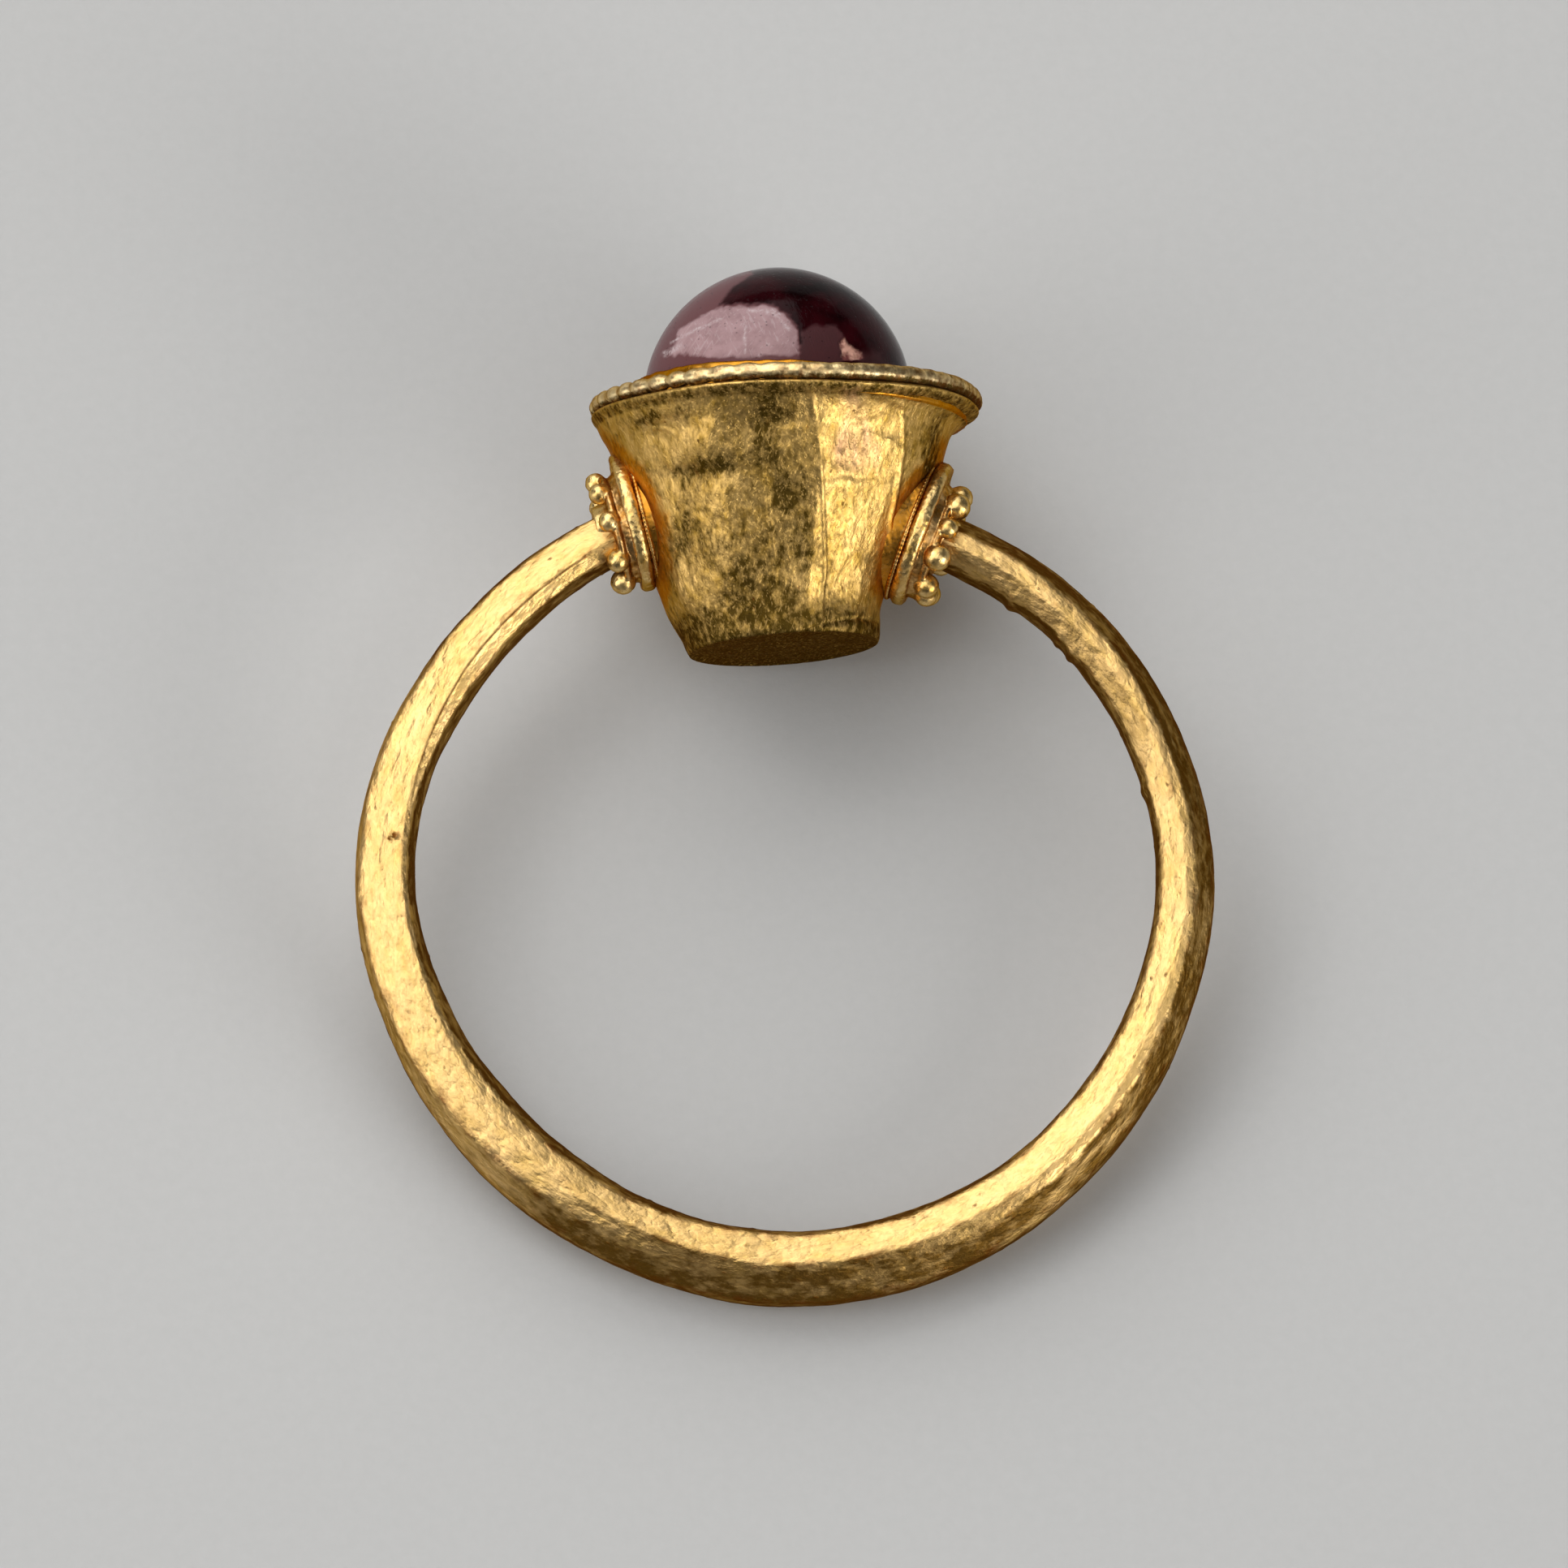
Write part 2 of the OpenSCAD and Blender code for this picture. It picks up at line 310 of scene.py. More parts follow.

# Where a painted reflection of soft light lies on the stone's skin, which is rougher there: outlines seen
# from the front, the strength, and how soft the edge is
PAINTED_SHEEN_PATCHES = [
    ([(-4.3, 13.2), (-4.2, 16.1), (-1.0, 16.7), (-0.89, 16.17), (-1.41, 15.83), (-1.78, 15.33),
      (-0.52, 15.39), (0.15, 15.09), (0.37, 14.65), (0.42, 13.3)], 0.5, 0.06),
    ([(-3.1, 14.0), (-2.85, 14.75), (-2.0, 15.22), (-1.68, 15.31), (-0.52, 15.37), (0.13, 15.07),
      (0.35, 14.63), (0.38, 13.96), (-1.5, 13.9)], 1.0, 0.1),
    ([(0.37, 14.6), (0.78, 14.8), (1.39, 14.78), (1.57, 14.48), (1.52, 13.3), (0.4, 13.2)], 0.22, 0.07),
    ([(1.9, 13.3), (2.0, 14.1), (2.5, 14.05), (2.9, 13.75), (3.0, 13.2)], 0.16, 0.15),
]

# Painted white highlights along scratches in the painted reflection, each with half its width, and a crack
# and the chip at the stone's foot, all seen from the front
STONE_GLINT_STREAKS = [
    ([(-3.05, 14.35), (-2.3, 14.72), (-1.7, 14.98)], 0.07),
    ([(-1.1, 14.8), (-1.05, 14.1)], 0.09),
    ([(-3.25, 14.05), (-2.75, 14.25)], 0.12),
    ([(-0.95, 15.22), (-0.15, 15.1)], 0.08),
    ([(-0.35, 15.2), (0.1, 14.6)], 0.07),
]
STONE_CRACK = [(0.39, 14.83), (0.41, 14.28)]
CRACK_EDGE = (0.06, 0.01)
STONE_CHIP = [
    (1.47, 14.33), (1.57, 14.46), (1.64, 14.33), (2.05, 14.1), (2.09, 13.93), (2.02, 13.88), (1.53, 13.86),
]

# How many times longer than wide the marks are: along the hoop, and up the cup
HOOP_STRETCH = 2.0
CUP_STRETCH = 1.7


# Curves, noise and meshes

def between(table, column, where):
    """Reads a column of a table along a smooth curve, at any values of its first column."""
    x, y = table[:, 0], table[:, column]
    slope = np.gradient(y, x)
    i = np.clip(np.searchsorted(x, where) - 1, 0, len(x) - 2)
    step = x[i + 1] - x[i]
    t = (where - x[i]) / step
    return (
        y[i] * (1 + 2 * t) * (1 - t) ** 2
        + slope[i] * step * t * (1 - t) ** 2
        + y[i + 1] * t**2 * (3 - 2 * t)
        + slope[i + 1] * step * t**2 * (t - 1)
    )


def lumps(points, size, seed):
    """Smooth noise from -1 to 1 at each point, with bumps about size across."""
    places = np.asarray(points).reshape(-1, 3) / size + (0.5 + 7.31 * seed, 3.17 * seed, 0.5 - 5.77 * seed)
    values = np.fromiter((noise.noise(place) for place in places.tolist()), float, len(places))
    return values.reshape(np.shape(points)[:-1])


def waver(arc, size, seed):
    """The same noise along a line."""
    return lumps(np.stack([arc, 0 * arc, 0 * arc], -1), size, seed)


def fade(low, high, values):
    """Rises smoothly from 0 at low to 1 at high."""
    t = np.clip((values - low) / (high - low), 0, 1)
    return t * t * (3 - 2 * t)


def band(ends, values):
    """Rises smoothly from 0 to 1 over the first pair of ends, and falls back to 0 over the second."""
    start, end = ends
    return fade(*start, values) * fade(*end, values)


def turns(count):
    """Angles at even steps round a full turn."""
    return np.arange(count) / count * 2 * math.pi


def around(turn, radius, height):
    """Points at a radius and a height, at angles from the front."""
    return np.stack(np.broadcast_arrays(radius * np.sin(turn), height, radius * np.cos(turn)), -1)


def away_from(places, x, y):
    """How far x and y lie from a line through places."""
    nearest = np.full(np.shape(x), np.inf)
    for (x0, y0), (x1, y1) in zip(places, places[1:]):
        run = np.array([x1 - x0, y1 - y0])
        away = np.stack([x - x0, y - y0], -1)
        t = np.clip(away @ run / (run @ run), 0, 1)
        nearest = np.minimum(nearest, np.linalg.norm(away - t[..., None] * run, axis=-1))
    return nearest


def lengths(points):
    """How far along its line of points each one lies."""
    steps = np.diff(points, axis=-2, prepend=points[..., :1, :])
    return np.cumsum(np.linalg.norm(steps, axis=-1), axis=-1)


def within(outline, x, y, softness):
    """1 inside an outline and 0 outside it, with an edge that is soft for softness on both sides."""
    closed = [*outline, outline[0]]
    odd = np.zeros(np.shape(x), bool)
    for (x0, y0), (x1, y1) in zip(closed, closed[1:]):
        if y0 != y1:
            odd ^= ((y0 > y) != (y1 > y)) & (x < (x1 - x0) * (y - y0) / (y1 - y0) + x0)
    away = away_from(closed, x, y)
    return fade(-softness, softness, np.where(odd, away, -away))


def new_object(name, data):
    """A new object in the scene."""
    made = bpy.data.objects.new(name, data)
    bpy.context.scene.collection.objects.link(made)
    return made


def mesh_of(name, points, faces):
    """A new object with a mesh of these points and faces."""
    mesh = bpy.data.meshes.new(name)
    mesh.from_pydata(points, [], faces)
    return new_object(name, mesh)


def raised(grid, relief, closed_rows=False):
    """A grid of points that closes round its columns, with each point moved outwards by the relief."""
    round_ = np.roll(grid, -1, 1) - np.roll(grid, 1, 1)
    along = np.roll(grid, -1, 0) - np.roll(grid, 1, 0) if closed_rows else np.gradient(grid, axis=0)
    normals = np.cross(round_, along)
    sizes = np.linalg.norm(normals, axis=-1, keepdims=True)
    return grid + normals / np.maximum(sizes, 1e-9) * relief[..., None]


def skinned(grid, closed_rows=False):
    """The points and faces over a grid that closes round its columns, with its open ends filled in."""
    rows, columns = grid.shape[:2]
    numbers = np.arange(rows * columns).reshape(rows, columns)
    onward = np.roll(numbers, -1, 1)
    last = rows if closed_rows else rows - 1
    above, above_on = np.roll(numbers, -1, 0)[:last], np.roll(onward, -1, 0)[:last]
    faces = np.stack([numbers[:last], onward[:last], above_on, above], -1).reshape(-1, 4).tolist()
    points = grid.reshape(-1, 3).tolist()
    if not closed_rows:
        for row, flip in ((0, 1), (rows - 1, -1)):
            centre = len(points)
            points.append(grid[row].mean(0).tolist())
            faces += [[a, centre, b][::flip] for a, b in zip(numbers[row], onward[row])]
    return points, faces


def vectors(items, field):
    """One vector of each item, as rows."""
    values = np.empty(len(items) * 3)
    items.foreach_get(field, values)
    return values.reshape(-1, 3)


def evened(mesh, values, rounds):
    """Values at the mesh's points, after so many rounds of averaging each with its neighbours."""
    ends = np.empty(len(mesh.edges) * 2, int)
    mesh.edges.foreach_get("vertices", ends)
    a, b = ends.reshape(-1, 2).T
    count = len(values)
    neighbours = np.maximum(np.bincount(a, minlength=count) + np.bincount(b, minlength=count), 1)
    for _ in range(rounds):
        values = np.stack(
            [np.bincount(a, v[b], count) + np.bincount(b, v[a], count) for v in values.T], 1
        ) / neighbours[:, None]
    return values


def hollowness(mesh, rounds):
    """How deep each point lies in a hollow, in millimetres, and below 0 where it stands proud."""
    points = vectors(mesh.vertices, "co")
    return ((evened(mesh, points, rounds) - points) * vectors(mesh.vertex_normals, "vector")).sum(1)


def paint(mesh, name, values):
    """Stores a number or a place for each point, which the materials read."""
    values = np.asarray(values, np.float32)
    spread = np.zeros((len(mesh.vertices), *values.shape[1:]), np.float32)
    spread[:len(values)] = values
    if values.ndim == 1:
        mesh.attributes.new(name, "FLOAT", "POINT").data.foreach_set("value", spread)
    else:
        mesh.attributes.new(name, "FLOAT_VECTOR", "POINT").data.foreach_set("vector", spread.ravel())


def finish_piece(piece, material, node="soldered_ring", slot="gold", reach=0.10, rounds=12, **paints):
    """Paints a piece, takes it from the ring's frame to the solids' and rides it on the ring.

    A hollow counts in full where it is reach deep against its surroundings, which more rounds make wider. The
    paints say how much staining, painted shade or flaw a point has, and lie is its place for the grain to
    follow.
    """
    mesh = piece.data
    paint(mesh, "hollow", np.clip(hollowness(mesh, rounds) / reach, -1, 1))
    paints.setdefault("lie", vectors(mesh.vertices, "co"))
    for name, values in paints.items():
        paint(mesh, name, values)
    mesh.transform(RING)
    mesh.shade_smooth()
    mesh.materials.append(material)
    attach(piece, "root")
    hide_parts(node)


# The hoop

def hoop_section(angles, arc):
    """The ten corners of the hoop's section at each angle, as a share across its face and a level along z."""
    near = [(0, EDGE_LEVEL)]
    ridges = ((OUTER_RIDGE, OUTER_LEVEL), (CROWN, None), (INNER_RIDGE, INNER_LEVEL))
    for number, (ridge, level) in enumerate(ridges):
        place = between(HOOP, ridge, angles)
        place += 0.03 * waver(arc, size=1.6, seed=3 + number)
        place += 0.015 * waver(arc, size=0.5, seed=8 + number)
        near.append((place, 1 if level is None else between(HOOP, level, angles)))
    near.append((1, EDGE_LEVEL))
    far = [(share, -level) for share, level in FAR_FACE]
    corners = [np.stack([place + 0 * angles, level + 0 * angles], -1) for place, level in near + far]
    return np.stack(corners, 1)


def hoop_pits(arc, across):
    """Small pits scattered over the hoop, and the twin pit on its left."""
    scattered = np.random.default_rng(5).uniform(LEAST_PIT, MOST_PIT, (PIT_COUNT, 4))
    scattered[:, 1] *= across.max()
    depth = np.zeros(arc.shape)
    for angle, place, size, deep in [*TWIN_PIT, *scattered]:
        along = arc - math.radians(angle) * HOOP_RADIUS
        near = np.abs(along[:, 0]) < 4 * size
        away = np.hypot(along[near], across[near] - place)
        depth[near] += deep * np.exp(-((away / size) ** 2))
    return depth


def hoop_stain(angles, share, level, rolled):
    """How dark the hoop is: tarnish and painted shade on its steep sides, and painted shade below the crown
    near its bottom and on its right side's inner half, less of it on the lit left, darker near the far edges.
    """
    ragged = 0.05 * lumps(rolled / (2, 1, 1), size=0.3, seed=6) + 0.03 * lumps(rolled, size=0.12, seed=7)
    outer, crown, inner = (
        between(HOOP, column, angles)[:, None] + ragged for column in (OUTER_RIDGE, CROWN, INNER_RIDGE)
    )
    low = band(HOOP_BOTTOM, angles)[:, None]
    lit_left = 0.65 * band(HOOP_LIT_LEFT, angles)[:, None]
    dark = np.maximum((1 - lit_left) * fade(0.04, -0.03, share - outer), fade(-0.04, 0.03, share - inner))
    dark = np.maximum(dark, 0.85 * low * fade(0.03, -0.04, share - crown))
    dark *= 1 + 0.5 * lumps(rolled / (6, 1, 1), size=0.35, seed=9)
    shaded_right = 0.45 * fade(*HOOP_SHADED_RIGHT, angles)[:, None] * fade(-0.02, 0.04, share - crown)
    far_edges = fade(0.25, 0, np.minimum(share, 1 - share))
    return 0.64 * np.where(level > 0, np.maximum(dark, shaded_right), far_edges)


def build_hoop(material):
    stations, splits = 900, 10
    angles = np.linspace(HOOP[0, ANGLE], HOOP[-1, ANGLE], stations)
    arc = np.radians(angles) * HOOP_RADIUS
    corners = hoop_section(angles, arc)
    onward = np.roll(corners, -1, 1)
    steps = (np.arange(splits) / splits)[:, None]
    section = (corners[:, :, None] * (1 - steps) + onward[:, :, None] * steps).reshape(stations, -1, 2)
    for _ in range(3):
        section = (np.roll(section, 1, 1) + 2 * section + np.roll(section, -1, 1)) / 4
    share, level = section[..., 0], section[..., 1]
    inner = between(HOOP, INNER, angles)
    outer = between(HOOP, OUTER, angles)
    radius = outer[:, None] + (inner - outer)[:, None] * share
    for angle, half_length, height in HOOP_KNOBS:
        knob = height * np.exp(-(((angles - angle) / half_length) ** 2))
        radius -= knob[:, None] * fade(0.75, 1, share)
    turn = np.radians(angles)[:, None]
    grid = np.stack([radius * np.sin(turn), -radius * np.cos(turn), level * HOOP_HALF_WIDTH], -1)
    grid += np.array(HOOP_MIDDLE)
    rolled = np.stack([arc[:, None] + 0 * radius, radius, grid[..., 2]], -1)
    # Painted shade and tarnish on the hoop's sides, painted shade on its bottom, and dark pits and groove
    stain = hoop_stain(angles, share, level, rolled)
    beaten = 0.030 * lumps(rolled / (1.8, 0.8, 0.8), size=1.0, seed=1)
    rough = 0.014 * lumps(rolled / (1.6, 1, 1), size=0.42, seed=2)
    rough += 0.008 * lumps(rolled / (1.5, 1, 1), size=0.16, seed=3)
    beside = (share - between(HOOP, CROWN, angles)[:, None] - GROOVE_PLACE) / GROOVE_HALF_WIDTH
    groove = np.exp(-(beside**2)) * (level > 0) * band(GROOVE, angles)[:, None]
    pitted = hoop_pits(rolled[..., 0], lengths(grid))
    grid = raised(grid, beaten + (0.4 + stain) * rough - pitted - GROOVE_DEPTH * groove)
    finish_piece(
        mesh_of("hoop", *skinned(grid)), material,
        lie=(rolled / (HOOP_STRETCH, 1, 1)).reshape(-1, 3),
        stain=np.max([stain + 0.13, 0.7 * groove, (pitted / 0.05).clip(0, 1)], 0).ravel(),
    )


# The cup

def cup_rows(count):
    """The cup's outline at even steps up its wall: the height and radius at the left and at the right."""
    along = lengths(CUP[:, [LEFT_HEIGHT, LEFT_RADIUS]] + CUP[:, [RIGHT_HEIGHT, RIGHT_RADIUS]])
    table = np.column_stack([along, CUP])
    where = np.linspace(0, along[-1], count)
    return np.stack([between(table, 1 + column, where) for column in range(4)], 1)


def cup_centre(height):
    """How far the cup's middle stands to the right at a height, and its radius there."""
    left = np.interp(height, CUP[:, LEFT_HEIGHT], CUP[:, LEFT_RADIUS])
    right = np.interp(height, CUP[:, RIGHT_HEIGHT], CUP[:, RIGHT_RADIUS])
    return (right - left) / 2, (right + left) / 2


def on_cup(x, y):
    """How far round the cup from its front a mark at x and height y is."""
    centre, radius = cup_centre(y)
    return np.arcsin(np.clip((x - centre) / radius, -1, 1)) * radius


def spot(arc, height, x, y, half_x, half_y):
    """A soft round spot on the cup: 1 in its middle at x and y, and fading outwards."""
    return np.exp(-((arc - on_cup(x, y)) / half_x) ** 2 - ((height - y) / half_y) ** 2)


def cup_relief(angle, height, points):
    """How far the sheet stands in from its smooth form, at angles from the front."""
    radius = cup_centre(height)[1]
    arc = angle * radius
    relief = np.zeros(angle.shape)
    front = np.abs(angle) < FRONT_REACH
    wall = band(WALL, height)
    wavy = math.radians(5) * lumps(points, size=2.0, seed=24) * fade(0.3, -0.2, angle)
    for start, end in CUP_FLATS:
        half = math.radians(end - start) / 2
        share = (angle + wavy - math.radians(start)) / (2 * half)
        sag = radius * (1 - math.cos(half)) * FLAT_SHARE
        relief += np.where((share > 0) & (share < 1), wall * sag * (1 - (2 * share - 1) ** 2), 0)
    for x, y, half_x, half_y, depth in CUP_DENTS:
        relief += np.where(front, depth * spot(arc, height, x, y, half_x, half_y), 0)
    for places, half_width, depth in CUP_LINES:
        away = away_from([(on_cup(x, y), y) for x, y in places], arc, height)
        relief += np.where(front, depth * np.exp(-((away / half_width) ** 2)), 0)
    beaten = 0.045 * lumps(points, size=1.4, seed=21) + 0.014 * lumps(points, size=0.55, seed=22)
    return relief + wall * beaten + 0.006 * lumps(points, size=0.25, seed=23)


def from_front(turn):
    """The same angle, from half a turn left of the front to half a turn right of it."""
    return (turn + math.pi) % (2 * math.pi) - math.pi


def lip_bend(turn, column):
    """How far the lip is lifted or pressed in at an angle."""
    return between(LIP_BENDS, column, np.degrees(from_front(turn)))


def cup_stains(angle, height, points):
    """How dark the cup is at angles from the front and heights, with stains and painted shade."""
    arc = angle * cup_centre(height)[1]
    stain = np.full(angle.shape, LEAST_STAIN)
    for x, y, half_x, half_y, strength in CUP_STAINS_AND_SHADE:
        stain += strength * spot(arc, height, x, y, half_x, half_y)
    blotches = 0.9 * lumps(points / (1, 1.6, 1), size=0.8, seed=26)
    blotches += 0.5 * lumps(points / (1, 2, 1), size=0.3, seed=27)
    stain *= 1 + blotches
    stain = np.maximum(stain, FOOT_SHADE * fade(*FOOT_BAND, height))
    return np.maximum(stain, COVE_SHADOW * band(COVE, height)).clip(0, MOST_CUP_DARKNESS)


def near_collars(points):
    """How much solder lies on the cup: it flooded the gold next to each collar."""
    share = np.zeros(len(points))
    for collar in COLLARS.values():
        away = np.linalg.norm((points - np.array(collar["middle"])) * (1.0, 0.9, 1), axis=1)
        share = np.maximum(share, fade(*FLOODED, away + 0.25 * lumps(points, size=0.6, seed=28)))
    return share


def build_cup(material):
    turn = turns(520)
    rightness = (1 + np.sin(turn)) / 2
    rows = cup_rows(150)[:, :, None]
    height = rows[:, LEFT_HEIGHT] * (1 - rightness) + rows[:, RIGHT_HEIGHT] * rightness
    radius = rows[:, LEFT_RADIUS] * (1 - rightness) + rows[:, RIGHT_RADIUS] * rightness
    smooth = around(turn, radius, height)
    angle = from_front(turn) + 0 * height
    relief = cup_relief(angle, height, smooth)
    stain = cup_stains(angle, height, smooth)
    bent = radius - fade(*LIP_PRESSING, height) * lip_bend(turn, PRESSED)
    lifted = height + fade(*LIP_LIFTING, height) * lip_bend(turn, LIFTED)
    wall = raised(around(turn, bent, lifted), -relief)
    edge = wall[0]
    centre = edge.mean(0)
    shares = np.linspace(0.02, 0.985, 40)[:, None, None]
    foot = centre + (edge - centre) * shares
    foot[..., 1] += 0.05 * fade(1, 0.9, shares[..., 0]) + 0.02 * lumps(foot, size=0.9, seed=25)
    grid = np.concatenate([foot, wall])
    # The underside of the foot gets painted shade in full
    stain = np.concatenate([np.full(foot.shape[:2], 1.0), stain])
    fan = within([(on_cup(x, y), y) for x, y in FAN], angle * cup_centre(height)[1], height, 0.2)
    fan *= 0.6 + 0.8 * lumps(wall / (0.35, 3, 1), size=0.6, seed=29)
    blush = np.concatenate([np.zeros(foot.shape[:2]), fan.clip(0, 1)])
    finish_piece(
        mesh_of("cup", *skinned(grid)), material,
        lie=(grid / (1, CUP_STRETCH, 1)).reshape(-1, 3), stain=stain.ravel(), blush=blush.ravel(),
        solder=near_collars(grid.reshape(-1, 3)),
    )


# The beaded rim and the setting

def build_rim(material):
    """The beaded wire: its beads stand out on the left and are worn down towards the right."""
    per_bead, columns = 24, 20
    turn = turns(BEAD_COUNT * per_bead)[:, None]
    roll = turns(columns)[None, :]
    rightness = (1 + np.sin(turn)) / 2
    along = turn * RIM_RADIUS
    wear = 0.25 + 0.5 * fade(0.2, 0.65, rightness) + 0.35 * waver(along, size=1.1, seed=31)
    slant = 0.3 * fade(0.5, 1, rightness) * np.sin(roll)
    place = (turn / (2 * math.pi) * BEAD_COUNT + slant + 0.5 * waver(along, size=1.6, seed=35)) % 1 * 2 - 1
    core = BEAD_CORE + (BEAD_RADIUS - BEAD_CORE) * wear.clip(0, 0.9)
    tube = core + (BEAD_RADIUS - core) * (0.5 + 0.5 * np.cos(math.pi * place)) ** 0.7
    ring = RIM_RADIUS - lip_bend(turn, PRESSED) + 0.02 * waver(along, size=3.0, seed=32)
    height = RIM_HEIGHT + lip_bend(turn, LIFTED) + 0.03 * waver(along, size=2.5, seed=33)
    grid = around(turn, ring + tube * np.cos(roll), height + tube * np.sin(roll))
    grain = 0.012 * lumps(grid, size=0.3, seed=34) + 0.006 * lumps(grid, size=0.12, seed=36)
    grid = raised(grid, grain, closed_rows=True)
    # Painted shade on the underside of the wire, and darker worn gold towards the right
    below = np.broadcast_to(fade(-0.25, -0.7, np.sin(roll)), grid.shape[:2])
    finish_piece(
        mesh_of("beaded_rim", *skinned(grid, closed_rows=True)), material, reach=0.12, rounds=8,
        stain=(0.75 * below + 0.35 * fade(0.5, 0.8, rightness)).ravel(),
    )


def build_setting(material):
    turn = turns(420)
    along = lengths(SETTING)
    where = np.linspace(0, along[-1], 60)
    radius, height = (np.interp(where, along, column)[:, None] for column in SETTING.T)
    arc = turn * STONE_RADIUS
    wave = 0.07 * waver(arc, size=1.1, seed=41) + 0.03 * waver(arc, size=0.35, seed=42)
    height = height + fade(*COLLET_WAVERING, height) * wave
    grid = around(turn, radius, height)
    grid[..., 0] += fade(*COLLET_SHIFTING, radius) * STONE_MIDDLE.x
    grid = raised(grid, 0.02 * lumps(grid, size=0.3, seed=43))
    finish_piece(mesh_of("setting", *skinned(grid)), material, solder=np.full(height.size, 0.8))


# The shoulder collars

def turned(profile, segments=64):
    """A form turned round +z from a profile of (radius, height, how far it is shifted along x)."""
    radius, height, shift = (column[:, None] for column in np.array(profile).T)
    turn = turns(segments)
    return np.stack([radius * np.cos(turn) + shift, radius * np.sin(turn), height + 0 * turn], -1)


def wire_ring(ring_radius, half_width, half_thickness, height, seed, beads=0):
    """A closed ring of slightly uneven wire round +z, flattened or beaded."""
    segments, sides = (beads * 8, 8) if beads else (160, 20)
    turn = turns(segments)[:, None]
    roll = turns(sides)[None, :]
    along = turn * ring_radius
    size = 1 + 0.14 * waver(along, 0.7, seed) - 0.15 * (beads > 0) * np.sin(turn * beads / 2) ** 2
    wide = np.sign(np.sin(roll)) * np.abs(np.sin(roll)) ** 0.8
    radius = ring_radius + half_thickness * size * np.cos(roll) + 0.02 * waver(along, 1.6, seed + 1)
    level = height + half_width * size * wide + 0.02 * waver(along, 2.1, seed + 2)
    return np.stack([radius * np.cos(turn), radius * np.sin(turn), level], -1)


def granule_places(collar):
    """The middle of each of the collar's granules and its radius, with +z out along the hoop and +x up."""
    generator = np.random.default_rng(60 + collar["side"])
    places = []
    for angle, size in collar["granules"]:
        turn = math.radians(angle) * collar["side"]
        x = GRANULE_RING_RADIUS * math.cos(turn) - GRANULE_DROP
        y = GRANULE_RING_RADIUS * math.sin(turn)
        z = GRANULE_OUT + generator.uniform(-GRANULE_UNEVEN, GRANULE_UNEVEN)
        places.append(((x, y, z), size))
    return places


def collar_parts(collar):
    """The points and faces of the collar's separate parts, with +z out along the hoop and +x up."""
    ring = collar["ring"]
    boss = ring - BOSS_STEP
    skirt = turned([
        *(
            (ring + 0.02 + SKIRT_FLARE * t * t, -SKIRT_BACK - SKIRT_DEPTH * t, -SKIRT_SHIFT * t)
            for t in np.linspace(1, 0, 14)
        ),
        (ring - 0.06, 0.0, 0),
        (ring - 0.10, 0.1, 0),
        (boss + 0.14, 0.18, -GRANULE_DROP / 2),
        (boss + 0.04, BOSS_HEIGHT, -GRANULE_DROP),
        (boss - 0.18, BOSS_HEIGHT + 0.16, -GRANULE_DROP),
        (0.4, BOSS_HEIGHT + 0.22, -GRANULE_DROP),
    ])
    hoop_end = turned([
        (1.14, 0, 0),
        (1.14, BOSS_HEIGHT + 0.1, 0),
        (1.05, BOSS_HEIGHT + 0.3, 0),
        (1.0, BOSS_HEIGHT + 0.46, 0),
        (0.96, BOSS_HEIGHT + 0.56, 0),
    ])
    wire = wire_ring(ring, *collar["wire"], 0, 51)
    bed = wire_ring(GRANULE_RING_RADIUS, 0.10, 0.16, BOSS_HEIGHT + 0.06, 61) - (GRANULE_DROP, 0, 0)
    lifts = np.radians([5, 25, 45, 65, 80, 95, 110, 130, 150, 175])
    ball = turned(np.stack([np.sin(lifts), -np.cos(lifts), 0 * lifts], 1), segments=24)
    granules = [size * ball + place for place, size in granule_places(collar)]
    open_grids = [skirt, hoop_end * (HOOP_END_FLATNESS, 1, 1), *granules]
    return [skinned(grid) for grid in open_grids] + [skinned(grid, closed_rows=True) for grid in (wire, bed)]


def fused(name, parts):
    """One skin round all the parts, as the solder made of them."""
    points, faces = [], []
    for part_points, part_faces in parts:
        faces += [[len(points) + i for i in face] for face in part_faces]
        points += part_points
    piece = mesh_of(name, points, faces)
    skin = piece.modifiers.new("skin", "REMESH")
    skin.mode = "VOXEL"
    skin.voxel_size = SKIN_VOXEL
    ease = piece.modifiers.new("ease", "SMOOTH")
    ease.factor = 0.5
    ease.iterations = 3
    finished = piece.evaluated_get(bpy.context.evaluated_depsgraph_get())
    mesh = bpy.data.meshes.new_from_object(finished)
    piece.modifiers.clear()
    piece.data = mesh
    return piece


